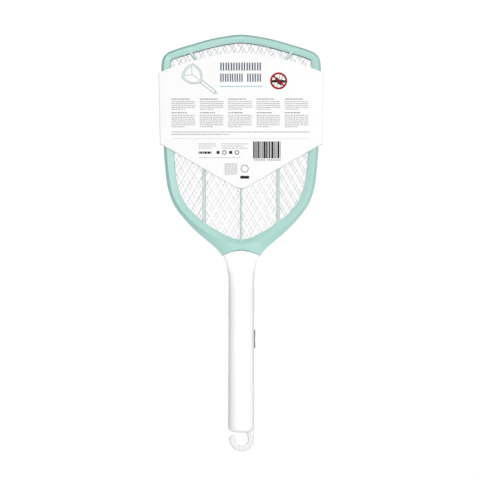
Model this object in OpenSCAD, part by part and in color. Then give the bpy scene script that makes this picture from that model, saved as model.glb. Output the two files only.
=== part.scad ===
// Electric fly swatter: a racket-shaped head with three wire grids between
// two moulded half frames, on a straight hollow handle that holds two AA
// cells in line, the drive board and the switches, with a hanging hook at
// its end and a folded card sleeve round the head.
// Upright: +Z runs up the racket, -Y is its back face. Millimetres.

/* [Head] */
// Depth of each half frame at its ridge
frame_t = 7; // [6.6:0.1:8]
// Height of the outer side wall of each half frame
rim_wall_h = 3.2; // [3:0.1:4]
// Wall thickness of the half frames
rim_wall = 1.8; // [1.4:0.1:2]
// Width of the moulded ribs over the grids
rib_w = 3.4; // [2.6:0.1:4]
// Distance of the two side ribs from the middle
rib_x = 41.6; // [36:0.2:46]

/* [Grids] */
// Width of one diamond of the grids
mesh_pitch = 10; // [8:0.5:14]
// Thickness of a grid wire
wire_d = 0.8; // [0.6:0.1:0.8]
// Distance between neighbouring grids, middle to middle
grid_gap = 3.6; // [3.4:0.1:3.6]

/* [Handle] */
// Half width of the straight part of the handle
grip_hw = 14.8; // [14.5:0.1:15.2]
// Half depth of the straight part of the handle
grip_hd = 14; // [13.8:0.1:14.6]
// Wall thickness of the handle shells
grip_wall = 2; // [1.6:0.1:2.1]

/* [Controls] */
// Radius of the round press button
button_r = 6.1; // [5:0.1:6.4]
// How far the press button goes in
button_travel = 1.5; // [1:0.1:1.6]
// Length of the thumb slider's knob
slider_l = 20.6; // [18:0.2:21]
// How far the thumb slider goes each way
slider_travel = 4; // [3:0.5:4]

/* [Hook] */
// Inner radius of the hanging hook
hook_r = 7.2; // [6.4:0.1:7.4]
// Thickness of the hook from back to front
hook_t = 7; // [5:0.5:8]

/* [Card] */
// Thickness of the card
card_t = 0.5; // [0.3:0.1:0.6]

/* [Hidden] */

$fn = 48;
seam_x = 21;      // half width of the joint between head and neck
seam_z = 106.6;   // top of that arched joint
slider_z = 7;     // middle of the thumb slider
button_z = 39;    // middle of the press button
led_z = 50;
screw_z = [23, 90];
cell_r = 7.25;
cell_l = 50.5;
cell_z = -88.6;   // bottom of the lower cell
door_hw = 9.5;    // half width of the battery cover
door_top = 15.5;  // its upper edge
play = 0.3;       // gap round moving pieces
hook_c = [0.5, -105.7];

mint = [0.66, 0.86, 0.82];
white = [0.96, 0.96, 0.96];

// ---- curves ----------------------------------------------------------
function cr(a, b, c, d, t) = 0.5 * (2 * b + (c - a) * t + (2 * a - 5 * b + 4 * c - d) * t * t
                                    + (3 * b - a - 3 * c + d) * t * t * t);
function at(l, i) = l[max(0, min(len(l) - 1, i))];
function smooth(l, n) = [for (i = [0:len(l) - 2], j = [0:n - 1])
                          cr(at(l, i - 1), l[i], l[i + 1], at(l, i + 2), j / n)];
// height of the arched joint at a distance x from the middle
function seam(x) = seam_z - 6.3 * pow(min(1, abs(x) / seam_x), 1.7);

// The rim from the top centre down the right side: outer edge (x, z),
// inner edge (x, z), where the ridge lies between them (1 = outer edge),
// and how far the side wall has risen to the ridge (0 to 1).
rim = [
    [0, 348.8, 0, 339.6, 0.74, 0], [18, 346.8, 17, 337.7, 0.74, 0],
    [36, 343.3, 34, 334, 0.74, 0], [56, 337.6, 53, 328.8, 0.73, 0],
    [70, 333.4, 67, 324.7, 0.72, 0], [77, 331, 74.5, 322.1, 0.71, 0],
    [83, 328, 78.2, 320.6, 0.71, 0], [87.2, 323.5, 79.2, 318.4, 0.71, 0],
    [89, 318, 79.3, 314, 0.71, 0], [89.6, 311, 79.2, 305, 0.71, 0],
    [89.5, 296, 78.9, 294, 0.70, 0], [88.4, 262, 77.3, 262, 0.70, 0],
    [87, 224, 75.8, 226, 0.69, 0], [85.5, 201.5, 74.5, 203, 0.68, 0],
    [83.2, 181.4, 72.4, 184.5, 0.67, 0], [79.8, 168, 69, 171.6, 0.66, 0],
    [73.6, 154.6, 63, 159.6, 0.65, 0], [63.2, 141.1, 53.6, 148.2, 0.61, 0],
    [50.3, 127.7, 42.2, 138.9, 0.55, 0], [36.5, 116, 30.6, 130.9, 0.48, 0.05],
    [27, 107.5, 20.6, 125.4, 0.37, 0.2], [seam_x, seam(seam_x), 12.2, 121.4, 0.285, 0.45]];
yoke = [for (i = [1:6]) let (x = seam_x * (1 - i / 6), s = 12.2 * (1 - i / 6))
        [x, seam(x), s, 118.9 + 0.0168 * s * s, 0.285 + 0.2 * i / 6, min(1, 0.45 + 0.25 * i)]];
function mirrored(s) = [-s[0], s[1], -s[2], s[3], s[4], s[5]];
curve = smooth(concat([mirrored(rim[1])], rim), 3);
half = concat([for (i = [3:len(curve) - 1]) curve[i]], [rim[len(rim) - 1]], yoke);
loop = concat(half, [for (i = [len(half) - 2:-1:1]) mirrored(half[i])]);
// outline that runs a share u of the way from the inner edge to the outer
function line_at(u, l = loop) = [for (s = l) [s[2] + (s[0] - s[2]) * u, s[3] + (s[1] - s[3]) * u]];

// ---- swept solids ----------------------------------------------------
// rows of equal length joined into a skin, closed round each row
function skin(rows, wrap) = let (n = len(rows[0]), m = len(rows))
    [for (i = [0:wrap ? m - 1 : m - 2], j = [0:n - 1])
        let (a = i * n + j, b = i * n + (j + 1) % n,
             c = ((i + 1) % m) * n + (j + 1) % n, d = ((i + 1) % m) * n + j)
        each [[a, b, c], [a, c, d]]];
module ring_solid(rows) polyhedron([for (r = rows) each r], skin(rows, true), 8);
module bar_solid(rows) let (n = len(rows[0]), m = len(rows))
    polyhedron([for (r = rows) each r],
               concat(skin(rows, false), [[for (j = [n - 1:-1:0]) j]],
                      [[for (j = [0:n - 1]) (m - 1) * n + j]]), 8);
// round tube along a list of points
function unit(v) = v / norm(v);
function along(p, i) = unit(at(p, i + 1) - at(p, i - 1));
module tube(p, r, k = 8) bar_solid([for (i = [0:len(p) - 1])
    let (t = along(p, i), a = unit(cross(t, abs(t.y) < 0.9 ? [0, 1, 0] : [1, 0, 0])), b = cross(t, a))
    [for (j = [0:k - 1]) p[i] + r * (cos(360 * j / k) * a - sin(360 * j / k) * b)]]);

// ---- head ------------------------------------------------------------
function rim_row(s, side) =
    let (o = [s[0], s[1]], i = [s[2], s[3]], w = norm(o - i), r = i + (o - i) * s[4],
         q = o + (i - o) * rim_wall / w, wall = rim_wall_h + (frame_t - rim_wall_h) * s[5],
         g = grid_gap + wire_d / 2,
         pts = [[o, 0], [o, wall], [r, frame_t], [i, frame_t - 1.7], [i, g], [q, g], [q, 0]])
    [for (p = side > 0 ? pts : [for (k = [6:-1:0]) pts[k]]) [p[0].x, side * p[1], p[0].y]];

module ribs(side) {
    low = grid_gap + wire_d / 2;
    high = frame_t - 1.5;
    y = side < 0 ? -high : low;
    translate([-rib_w * 0.35, y, 112]) cube([rib_w * 0.7, high - low, 150]);
    for (m = [-1, 1]) {
        translate([m * rib_x - rib_w / 2, y, 133]) cube([rib_w, high - low, 178]);
        translate([0, y, 262]) rotate([0, m * 40.3, 0])
            translate([-rib_w / 2, 0, 0]) cube([rib_w, high - low, 88]);
    }
}

module half_frame(side) difference() {
    union() {
        ring_solid([for (s = loop) rim_row(s, side)]);
        ribs(side);
    }
    // way in for the stem and the leads
    translate([-12.6, side < 0 ? -grid_gap - 0.4 : -1, 92]) cube([25.2, grid_gap + 1.4, 18]);
}

module rear_frame() color(mint) half_frame(-1);
module front_frame() color(mint) half_frame(1);

// flat piece in the XZ plane, from y0 to y1
module slab(y0, y1) translate([0, y1, 0]) rotate([90, 0, 0]) linear_extrude(y1 - y0) children();

module grid(y, shift, tab) {
    h = mesh_pitch * sqrt(3) / 2;
    f = 1 - 0.9 / h;
    slab(y - wire_d / 2, y + wire_d / 2) difference() {
        polygon(line_at(0.42));
        intersection() {
            polygon(line_at(-0.03));
            for (j = [13:40], i = [-8:8])
                let (x = (i + (j % 2) / 2) * mesh_pitch + shift, z = j * h)
                if (abs(x) < 90 - (z < 190 ? (190 - z) * 0.72 : 0) && z < 349 - abs(x) * 0.2)
                    translate([x, z]) polygon(f * [[mesh_pitch / 2, 0], [0, h], [-mesh_pitch / 2, 0], [0, -h]]);
        }
    }
    // solder tab for the lead
    translate([tab - 1, y - wire_d / 2, 100]) cube([2, wire_d, 17]);
}
module rear_grid() color([0.8, 0.82, 0.84]) grid(-grid_gap, 0, -10.8);
module middle_grid() color([0.76, 0.78, 0.8]) grid(0, mesh_pitch / 2, 10.8);
module front_grid() color([0.8, 0.82, 0.84]) grid(grid_gap, 0, -10.8);

module spacer_ring(y0, y1) difference() {
    union() {
        slab(y0, y1) difference() {
            polygon(line_at(0.78));
            polygon(line_at(0.04));
        }
        // stem that reaches down between the handle shells
        translate([-9, y0, 80]) cube([18, y1 - y0, 34]);
    }
    translate([0, y1 + 1, screw_z[1]]) rotate([90, 0, 0]) cylinder(r = 1.9, h = y1 - y0 + 2);
}
module rear_spacer_ring() color([0.9, 0.93, 0.92])
    spacer_ring(-grid_gap + wire_d / 2, -wire_d / 2);
module front_spacer_ring() color([0.9, 0.93, 0.92])
    spacer_ring(wire_d / 2, grid_gap - wire_d / 2);

// ---- handle ----------------------------------------------------------
// half width, half depth and roundness of the section at height z
function hw(z) = lookup(z, [[70, grip_hw], [76, grip_hw + 0.1], [80, grip_hw + 0.4], [84, grip_hw + 1],
                            [90, 17], [94, 17.9], [97.4, 19.1], [100.3, seam_x]]);
function hd(z) = lookup(z, [[58, grip_hd], [66, grip_hd - 0.5], [72, grip_hd - 1.5], [80, 10.9],
                            [88, 8.9], [94, 7.8], [100.3, frame_t]]);
function hn(z) = lookup(z, [[58, 2.4], [76, 2.8], [90, 4], [100.3, 7]]);
function sgn_pow(v, e) = v < 0 ? -pow(-v, e) : pow(v, e);
arc_n = 20;
// one half section: z, half width, half depth, roundness, towards side
function arc(z, w, d, n, side) = [for (k = [0:arc_n])
    let (a = 180 * k / arc_n, x = w * sgn_pow(cos(a), 2 / n), y = side * d * pow(max(0, sin(a)), 2 / n))
    [x, y, z > 100 ? seam(x) - 0.15 : z]];
end_steps = [[-97.9, 0.3, -94.2, 0.3], [-97.5, 0.52, -94.1, 0.5], [-96.7, 0.75, -93.9, 0.74],
             [-95.3, 0.91, -93.2, 0.9], [-93.2, 0.98, -92.2, 0.97], [-90.5, 1, -90.5, 1]];
body_steps = [-40, 10, 58, 62, 66, 70, 74, 78, 82, 86, 90, 94, 97.4, 100.3];
function shell_rows(side) = concat(
    [for (e = end_steps) concat(
        arc(e[0], grip_hw * e[1], grip_hd * e[1], 2.4, side),
        [for (k = [arc_n:-1:0]) arc(e[2], (grip_hw - grip_wall) * e[3], (grip_hd - grip_wall) * e[3], 2.4, side)[k]])],
    [for (z = body_steps) concat(
        arc(z, hw(z), hd(z), hn(z), side),
        [for (k = [arc_n:-1:0]) arc(z, hw(z) - grip_wall, hd(z) - grip_wall, hn(z), side)[k]])]);
// closed skin of one half shell: a flat floor at its end, a strip along its top
module shell_skin(side) let (
    raw = shell_rows(side),
    rows = side < 0 ? raw : [for (r = raw) [for (k = [len(r) - 1:-1:0]) r[k]]],
    n = 2 * arc_n + 2, last = (len(rows) - 1) * n)
    polyhedron([for (r = rows) each r], concat(
        skin(rows, false),
        [[for (j = [arc_n:-1:0]) j], [for (j = [n - 1:-1:arc_n + 1]) j], [arc_n + 1, arc_n, 0, n - 1]],
        [for (k = [0:arc_n - 1]) each [[last + k, last + k + 1, last + n - 2 - k],
                                       [last + k, last + n - 2 - k, last + n - 1 - k]]]), 8);

module slider_track() {
    translate([grip_hw - 0.9, -4.6, slider_z - 15.1]) cube([6, 9.2, 30.2]);
    translate([grip_hw - 6, -1.7, slider_z - 2.4 - slider_travel - play])
        cube([8, 3.4, 4.8 + 2 * slider_travel + 2 * play]);
}
module hook_root(grow = 0) translate([5.2 - grow, -hook_t / 2 - grow, -98.5])
    cube([9.55 + 2 * grow, hook_t + 2 * grow, 8]);

module rear_handle_shell() color(white) difference() {
    union() {
        shell_skin(-1);
        for (z = screw_z) let (d = hd(z)) translate([0, 0, z]) rotate([90, 0, 0])
            translate([0, 0, z > 50 ? 3.4 : 0.1]) cylinder(r = 3.2, h = d - 1.1 - (z > 50 ? 3.4 : 0.1));
        // rests for the circuit board
        for (z = [31.5, 64]) translate([-8, -12, z]) cube([16, 9, 2]);
        // cradles for the cells and the wall above them
        for (z = [-76, -40, -6]) difference() {
            translate([-9.6, -11.4, z]) cube([19.2, 8.4, 2]);
            translate([0, 0, z - 1]) cylinder(r = cell_r + 0.1, h = 4);
        }
        translate([-8.4, -11.6, 13]) cube([16, 15, 1.4]);
    }
    for (z = screw_z) translate([0, 1, z]) rotate([90, 0, 0]) cylinder(r = 1.55, h = z > 50 ? 7.4 : 9.6);
    slider_track();
    hook_root();
}

module front_handle_shell() color(white) difference() {
    union() {
        shell_skin(1);
        for (z = screw_z) let (d = hd(z)) translate([0, 0, z]) rotate([-90, 0, 0])
            translate([0, 0, z > 50 ? 3.4 : 0.1]) cylinder(r = 4.2, h = d - 1.3 - (z > 50 ? 3.4 : 0.1));
    }
    for (z = screw_z) let (d = hd(z)) translate([0, -1, z]) rotate([-90, 0, 0]) {
        cylinder(r = 1.7, h = 20);
        translate([0, 0, d - 2]) cylinder(r = 3, h = 6);
    }
    translate([0, 5, button_z]) rotate([-90, 0, 0]) cylinder(r = button_r + play, h = 12);
    translate([0, 5, led_z]) rotate([-90, 0, 0]) cylinder(r = 1.6, h = 12);
    translate([-door_hw - play, 6.4, -100]) cube([2 * door_hw + 2 * play, 12, 100 + door_top + play]);
    slider_track();
    hook_root();
}

module battery_cover() color(white) intersection() {
    shell_skin(1);
    translate([-door_hw, 6.7, -100]) cube([2 * door_hw, 12, 100 + door_top]);
}

module hanging_hook() color(white) difference() {
    union() {
        slab(-hook_t / 2, hook_t / 2) union() {
            difference() {
                union() {
                    intersection() {
                        translate(hook_c) circle(r = 13.8, $fn = 96);
                        translate([-20, -125]) square([40, 20.8]);
                    }
                    polygon([[14.75, -90.5], [14.75, -97], [14.3, -104.2], [6, -104.2], [5.2, -98.5], [5.2, -90.5]]);
                    translate([-9.9, -104]) circle(r = 3.2);
                }
                translate(hook_c) circle(r = hook_r, $fn = 96);
            }
        }
        // foot that the two handle shells trap
        translate([6.4, -5, -93.4]) cube([3.2, 10, 2.9]);
    }
}

// ---- power -----------------------------------------------------------
module cell() {
    cylinder(r = cell_r, h = cell_l - 1);
    cylinder(r = 2.7, h = cell_l);
}
module lower_battery() color([0.28, 0.3, 0.33]) translate([0, 0, cell_z]) cell();
module upper_battery() color([0.28, 0.3, 0.33]) translate([0, 0, cell_z + cell_l]) cell();

module negative_contact_spring() color([0.82, 0.82, 0.8]) {
    translate([-11, -4, -92.4]) cube([15.8, 8, 0.4]);
    tube([for (i = [0:30]) let (a = i * 36, r = 4.6 - i * 0.07) [r * cos(a), r * sin(a), -91.9 + 2.9 * i / 30]], 0.35, 6);
}
module positive_contact() color([0.82, 0.82, 0.8])
    translate([-5, -5, cell_z + 2 * cell_l]) cube([10, 10, 0.4]);

// ---- electronics -----------------------------------------------------
board_y = -1.4;
module circuit_board() color([0.14, 0.42, 0.26]) difference() {
    translate([-10.5, board_y - 1.6, 30]) cube([21, 1.6, 38]);
    for (m = [-1, 1], z = [34.6, 62]) translate([m * 9.2, 0, z]) rotate([90, 0, 0]) cylinder(r = 0.8, h = 6);
}
module transformer_core() color([0.25, 0.25, 0.27]) difference() {
    translate([-6.5, board_y, 54.5]) cube([13, 9.6, 12]);
    translate([-4.1, board_y - 1, 57]) cube([8.2, 12, 7]);
}
module transformer_winding() color([0.86, 0.72, 0.3]) difference() {
    translate([-4, board_y, 57.1]) cube([8, 11, 6.8]);
    for (y = [0, 9.6]) translate([-5, board_y + y, 56]) cube([10, 1.4, 9]);
}
module high_voltage_capacitor() color([0.62, 0.16, 0.14])
    translate([-7.5, board_y - 8.4, 40]) cube([15, 6.8, 12]);
module axial(x, z, r, l) translate([x, board_y + r, z]) {
    translate([0, 0, -l / 2]) cylinder(r = r, h = l);
    translate([0, 0, -l / 2 - 1.6]) cylinder(r = 0.35, h = l + 3.2);
}
module rectifier_diodes() color([0.12, 0.12, 0.13]) {
    for (x = [-8.6, 8.6], z = [41, 52]) axial(x, z, 1.3, 5);
}
module resistors() color([0.75, 0.62, 0.42]) {
    axial(-8.6, 60.5, 1.1, 5.6);
    axial(8.6, 60.5, 1.1, 5.6);
}
module drive_transistor() color([0.13, 0.13, 0.14]) intersection() {
    translate([4.6, board_y, 49.6]) rotate([-90, 0, 0]) cylinder(r = 2.3, h = 4.6);
    translate([2, board_y, 46.6]) cube([7, 6, 4.3]);
}
module indicator_led() color([0.85, 0.1, 0.08]) {
    translate([0, 9.6, led_z]) rotate([-90, 0, 0]) cylinder(r = 1.5, h = grip_hd - 9.7);
    for (m = [-1, 1]) translate([m * 0.9, board_y, led_z]) rotate([-90, 0, 0]) cylinder(r = 0.25, h = 11.1);
}

module tact_switch() color([0.2, 0.2, 0.22]) {
    translate([-3, board_y, button_z - 3]) cube([6, 3, 6]);
    translate([0, board_y, button_z]) rotate([-90, 0, 0]) cylinder(r = 1.6, h = 3.6);
}
module press_button() color([0.66, 0.86, 0.82]) translate([0, 0, button_z]) rotate([-90, 0, 0]) {
    translate([0, 0, 4]) cylinder(r = 1.5, h = 6);
    translate([0, 0, 8.8]) cylinder(r = 7.5, h = 1.2);
    translate([0, 0, 9.4]) cylinder(r = button_r, h = grip_hd - 9.4 - 0.9);
    translate([0, 0, grip_hd - 0.95]) cylinder(r1 = button_r, r2 = button_r - 0.8, h = 0.75, $fn = 64);
}
module button_spring() color([0.8, 0.8, 0.8])
    tube([for (i = [0:50]) let (a = i * 36)
          [4.7 * cos(a), board_y + 0.4 + 9.4 * i / 50, button_z + 4.7 * sin(a)]], 0.3, 6);

module power_slide_switch() color([0.75, 0.77, 0.78])
    translate([8.1, -3.2, slider_z - 6.5]) cube([2.9, 6.4, 13]);
module power_slider() color([0.72, 0.76, 0.75]) difference() {
    union() {
        slab(-4.1, 4.1) difference() {
            translate([grip_hw - 0.6, slider_z - slider_l / 2]) square([1.8, slider_l]);
            translate([grip_hw + 22.4, slider_z]) circle(r = 22, $fn = 96);
        }
        translate([11.3, -1.4, slider_z - 2.1]) cube([grip_hw - 11.6, 2.8, 4.2]);
    }
}

// ---- leads and fasteners ---------------------------------------------
module grid_leads() color([0.75, 0.12, 0.1]) {
    tube(concat([[8.6, -0.7, 66.2], [8.6, -0.7, 70]],
         smooth([[8.8, -0.6, 73], [9.8, -0.2, 78], [10.7, 0, 83], [10.8, 0, 90]], 2), [[10.8, 0, 92], [10.8, 0, 99.95]]), 0.65);
    for (m = [-1, 1])
        tube(concat([[-8.8 + m * 0.8, -0.7, 66.2], [-8.8 + m * 0.8, -0.7, 70]],
             smooth([[-9.2 + m * 0.8, -0.5, 73], [-10.4 + m * 0.3, m * 1.2, 79],
                     [-10.8, m * 2.4, 86], [-10.8, m * 3.4, 93]], 2), [[-10.8, m * grid_gap, 96], [-10.8, m * grid_gap, 99.95]]), 0.6);
}
module battery_leads() color([0.12, 0.12, 0.13]) {
    tube([[-10.6, -1.6, -91.9], [-11.2, -1.5, -88], [-11.3, -1.4, -80], [-11.3, -1.4, 10],
          [-11, -1.7, 18], [-9.8, -2.2, 25], [-9.2, -2.2, 29.9]], 0.6);
    tube([[9.6, 0, 13.6], [9.8, -0.4, 17], [9.8, -1.4, 23], [9.2, -2.2, 29.9]], 0.6);
    tube([[5.1, 3.6, 12.6], [6, 3.8, 12.8], [7.4, 3.9, 12.4], [9.5, 4, 11.5]], 0.5);
}
module screw(head_y, tip_y) rotate([-90, 0, 0]) {
    translate([0, 0, tip_y]) cylinder(r = 1.5, h = head_y - tip_y);
    difference() {
        translate([0, 0, head_y]) cylinder(r1 = 2.8, r2 = 2.4, h = 1.6);
        for (a = [0, 90]) rotate([0, 0, a]) translate([-1.5, -0.3, head_y + 0.8]) cube([3, 0.6, 2]);
    }
}
module handle_screws() color([0.7, 0.71, 0.72]) {
    translate([0, 0, screw_z[0]]) screw(hd(screw_z[0]) - 3, -8);
    translate([0, 0, screw_z[1]]) screw(hd(screw_z[1]) - 3, -6);
}

// ---- card ------------------------------------------------------------
card_hw = 92.7;   // half width along its upper folds
card_lw = 91;     // half width along its lower corners
card_z = [225.7, 305.8];
function card_top(x) = 327.7 - 21.9 * pow(abs(x) / card_hw, 1.75);
card_outline = concat(
    [for (i = [-12:12]) let (x = card_hw * i / 12) [x, card_top(x)]],
    [[card_lw, card_z[0]], [9, 179], [4, 176.4], [0, 175.6], [-4, 176.4], [-9, 179], [-card_lw, card_z[0]]]);
module card_sleeve() color([0.98, 0.98, 0.97]) {
    inside = frame_t + 0.5;
    for (m = [-1, 1]) {
        slab(m < 0 ? -inside - card_t : inside, m < 0 ? -inside : inside + card_t) polygon(card_outline);
        slab(-inside + 0.02, inside - 0.02) polygon([[m * card_lw, card_z[0]], [m * card_hw, card_z[1]],
            [m * (card_hw - card_t), card_z[1]], [m * (card_lw - card_t), card_z[0]]]);
    }
}

rear_frame();
front_frame();
rear_grid();
middle_grid();
front_grid();
rear_spacer_ring();
front_spacer_ring();
rear_handle_shell();
front_handle_shell();
hanging_hook();
battery_cover();
lower_battery();
upper_battery();
negative_contact_spring();
positive_contact();
circuit_board();
transformer_core();
transformer_winding();
high_voltage_capacitor();
rectifier_diodes();
resistors();
drive_transistor();
indicator_led();
tact_switch();
press_button();
button_spring();
power_slide_switch();
power_slider();
grid_leads();
battery_leads();
handle_screws();
card_sleeve();
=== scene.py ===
import bpy, bmesh, math, random
from mathutils import Vector, Matrix


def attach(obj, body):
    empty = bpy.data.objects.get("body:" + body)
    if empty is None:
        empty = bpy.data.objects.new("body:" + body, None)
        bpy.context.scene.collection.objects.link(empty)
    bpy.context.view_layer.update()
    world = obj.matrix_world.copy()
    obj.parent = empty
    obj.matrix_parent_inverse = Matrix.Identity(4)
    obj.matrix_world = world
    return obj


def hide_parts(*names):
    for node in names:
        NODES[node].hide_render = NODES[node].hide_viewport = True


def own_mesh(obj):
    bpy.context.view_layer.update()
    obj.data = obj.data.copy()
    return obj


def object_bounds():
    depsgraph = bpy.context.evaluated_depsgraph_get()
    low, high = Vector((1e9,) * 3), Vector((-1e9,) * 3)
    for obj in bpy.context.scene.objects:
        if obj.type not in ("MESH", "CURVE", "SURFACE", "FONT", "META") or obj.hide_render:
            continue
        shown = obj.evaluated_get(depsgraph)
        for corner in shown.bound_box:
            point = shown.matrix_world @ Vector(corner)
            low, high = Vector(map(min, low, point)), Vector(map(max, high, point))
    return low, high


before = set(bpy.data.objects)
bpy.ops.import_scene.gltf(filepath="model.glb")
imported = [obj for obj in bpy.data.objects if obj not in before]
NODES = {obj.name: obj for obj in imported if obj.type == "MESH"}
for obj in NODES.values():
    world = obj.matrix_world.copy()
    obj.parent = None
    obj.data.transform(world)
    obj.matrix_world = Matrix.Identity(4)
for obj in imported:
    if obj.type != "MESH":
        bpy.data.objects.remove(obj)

MM = 0.001
LO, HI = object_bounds()
scene = bpy.context.scene

# ----------------------------------------------------------------------
# camera first
# ----------------------------------------------------------------------
cam_data = bpy.data.cameras.new("camera")
cam = bpy.data.objects.new("camera", cam_data)
scene.collection.objects.link(cam)
scene.camera = cam
DIST = 1.5
FIELD = 480 * 1.12 * MM
cam_data.sensor_width = 36.0
cam_data.sensor_fit = "HORIZONTAL"
cam_data.lens = 36.0 * (DIST - 0.007) / FIELD
cam_data.clip_start, cam_data.clip_end = 0.05, 60.0
cam.location = (-1.23 * MM, -DIST, 118.16 * MM)
cam.rotation_euler = (math.radians(90), 0, 0)

# ----------------------------------------------------------------------
# mesh helpers (all in millimetres until the mesh is made)
# ----------------------------------------------------------------------
def sharpen(me, angle=34.0):
    bm = bmesh.new()
    bm.from_mesh(me)
    lim = math.radians(angle)
    for e in bm.edges:
        e.smooth = not (len(e.link_faces) == 2 and e.calc_face_angle(0) > lim)
    for f in bm.faces:
        f.smooth = True
    bm.to_mesh(me)
    bm.free()


def tidy(me, dist=1e-7):
    bm = bmesh.new()
    bm.from_mesh(me)
    bmesh.ops.remove_doubles(bm, verts=bm.verts, dist=dist)
    bmesh.ops.dissolve_degenerate(bm, edges=bm.edges, dist=dist)
    bmesh.ops.recalc_face_normals(bm, faces=bm.faces)
    bm.to_mesh(me)
    bm.free()


def make(name, verts, faces, mat=None, angle=34.0, clean=True):
    me = bpy.data.meshes.new(name)
    me.from_pydata([(v[0] * MM, v[1] * MM, v[2] * MM) for v in verts], [], faces)
    me.update()
    if clean:
        tidy(me)
    sharpen(me, angle)
    ob = bpy.data.objects.new(name, me)
    scene.collection.objects.link(ob)
    if mat:
        me.materials.append(mat)
    return ob


def join_data(parts):
    """several (verts, faces) into one"""
    vs, fs = [], []
    for v, f in parts:
        o = len(vs)
        vs += list(v)
        fs += [[i + o for i in q] for q in f]
    return vs, fs


def skin(rows, wrap=False, caps=True, closed_row=True):
    n, m = len(rows[0]), len(rows)
    vs = [p for r in rows for p in r]
    fs = []
    for i in range(m if wrap else m - 1):
        for j in range(n if closed_row else n - 1):
            a, b = i * n + j, i * n + (j + 1) % n
            c, d = ((i + 1) % m) * n + (j + 1) % n, ((i + 1) % m) * n + j
            fs.append([a, b, c, d])
    if caps and not wrap:
        fs.append(list(range(n - 1, -1, -1)))
        fs.append([(m - 1) * n + j for j in range(n)])
    return vs, fs


def evaluated(ob):
    dg = bpy.context.evaluated_depsgraph_get()
    me = bpy.data.meshes.new_from_object(ob.evaluated_get(dg), depsgraph=dg)
    return me


def bake_modifiers(ob, angle=34.0):
    me = evaluated(ob)
    old = ob.data
    ob.modifiers.clear()
    ob.data = me
    sharpen(me, angle)
    if old.users == 0:
        bpy.data.meshes.remove(old)
    return ob


def boolean(ob, tools, op="DIFFERENCE"):
    for t in tools:
        m = ob.modifiers.new("cut", "BOOLEAN")
        m.operation, m.solver, m.object = op, "EXACT", t
    bpy.context.view_layer.update()
    bake_modifiers(ob)
    for t in tools:
        me = t.data
        bpy.data.objects.remove(t)
        bpy.data.meshes.remove(me)
    return ob


def bevelled(ob, width, segments=2, angle=34.0):
    m = ob.modifiers.new("edges", "BEVEL")
    m.width, m.segments, m.limit_method, m.angle_limit = width * MM, segments, "ANGLE", math.radians(angle)
    m.use_clamp_overlap = True
    return ob


def box(lo, hi):
    x, y, z = zip(lo, hi)
    v = [(x[i], y[j], z[k]) for i in (0, 1) for j in (0, 1) for k in (0, 1)]
    f = [[0, 1, 3, 2], [4, 6, 7, 5], [0, 4, 5, 1], [2, 3, 7, 6], [0, 2, 6, 4], [1, 5, 7, 3]]
    return v, f


def lathe(profile, centre, axis="y", n=64):
    """profile: (radius, height) from bottom to top; ends with radius 0 close themselves"""
    rows = []
    for r, h in profile:
        row = []
        for k in range(n):
            a = 2 * math.pi * k / n
            c, s = r * math.cos(a), r * math.sin(a)
            p = {"y": (c, h, -s), "z": (c, s, h), "x": (h, c, s)}[axis]
            row.append((centre[0] + p[0], centre[1] + p[1], centre[2] + p[2]))
        rows.append(row)
    return skin(rows)


def round_poly(pts, n=5, closed=True):
    """pts: (x, y, radius); corners become arcs"""
    out = []
    m = len(pts)
    for i, (x, y, r) in enumerate(pts):
        if r <= 0 or (not closed and i in (0, m - 1)):
            out.append((x, y))
            continue
        p, a, b = Vector((x, y)), Vector(pts[i - 1][:2]), Vector(pts[(i + 1) % m][:2])
        da, db = a - p, b - p
        la, lb = da.length, db.length
        da, db = da / la, db / lb
        half = da.angle(db) / 2
        t = min(r / math.tan(half), la * 0.48, lb * 0.48)
        r2 = t * math.tan(half)
        c = p + (da + db).normalized() * (r2 / math.sin(half))
        s, e = p + da * t - c, p + db * t - c
        ang = s.angle(e)
        sign = 1 if s.x * e.y - s.y * e.x > 0 else -1
        for k in range(n + 1):
            t2 = sign * ang * k / n
            out.append((c.x + s.x * math.cos(t2) - s.y * math.sin(t2), c.y + s.x * math.sin(t2) + s.y * math.cos(t2)))
    return out


def cr(a, b, c, d, t):
    return [0.5 * (2 * q + (r - p) * t + (2 * p - 5 * q + 4 * r - s) * t * t + (3 * q - p - 3 * r + s) * t ** 3)
            for p, q, r, s in zip(a, b, c, d)]


def smooth_line(l, n):
    at = lambda i: l[max(0, min(len(l) - 1, i))]
    return [cr(at(i - 1), at(i), at(i + 1), at(i + 2), j / n) for i in range(len(l) - 1) for j in range(n)] + [list(l[-1])]


def tube(path, r, k=10):
    rows = []
    for i, p in enumerate(path):
        p = Vector(p)
        t = (Vector(path[min(i + 1, len(path) - 1)]) - Vector(path[max(i - 1, 0)])).normalized()
        ref = Vector((0, 1, 0)) if abs(t.y) < 0.9 else Vector((1, 0, 0))
        a = t.cross(ref).normalized()
        b = t.cross(a)
        rows.append([tuple(p + r * (math.cos(2 * math.pi * j / k) * a - math.sin(2 * math.pi * j / k) * b)) for j in range(k)])
    return skin(rows)


def pchip(table, x):
    xs, ys = [p[0] for p in table], [p[1] for p in table]
    if x <= xs[0]:
        return ys[0]
    if x >= xs[-1]:
        return ys[-1]
    n = len(xs)
    d = [(ys[i + 1] - ys[i]) / (xs[i + 1] - xs[i]) for i in range(n - 1)]
    def slope(i):
        if i == 0:
            return d[0] if d[0] == 0 else d[0]
        if i == n - 1:
            return d[-1]
        return 0 if d[i - 1] * d[i] <= 0 else 2 * d[i - 1] * d[i] / (d[i - 1] + d[i])
    i = max(j for j in range(n - 1) if xs[j] <= x)
    h = xs[i + 1] - xs[i]
    t = (x - xs[i]) / h
    return ((2 * t ** 3 - 3 * t * t + 1) * ys[i] + (t ** 3 - 2 * t * t + t) * h * slope(i)
            + (-2 * t ** 3 + 3 * t * t) * ys[i + 1] + (t ** 3 - t * t) * h * slope(i + 1))

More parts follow.
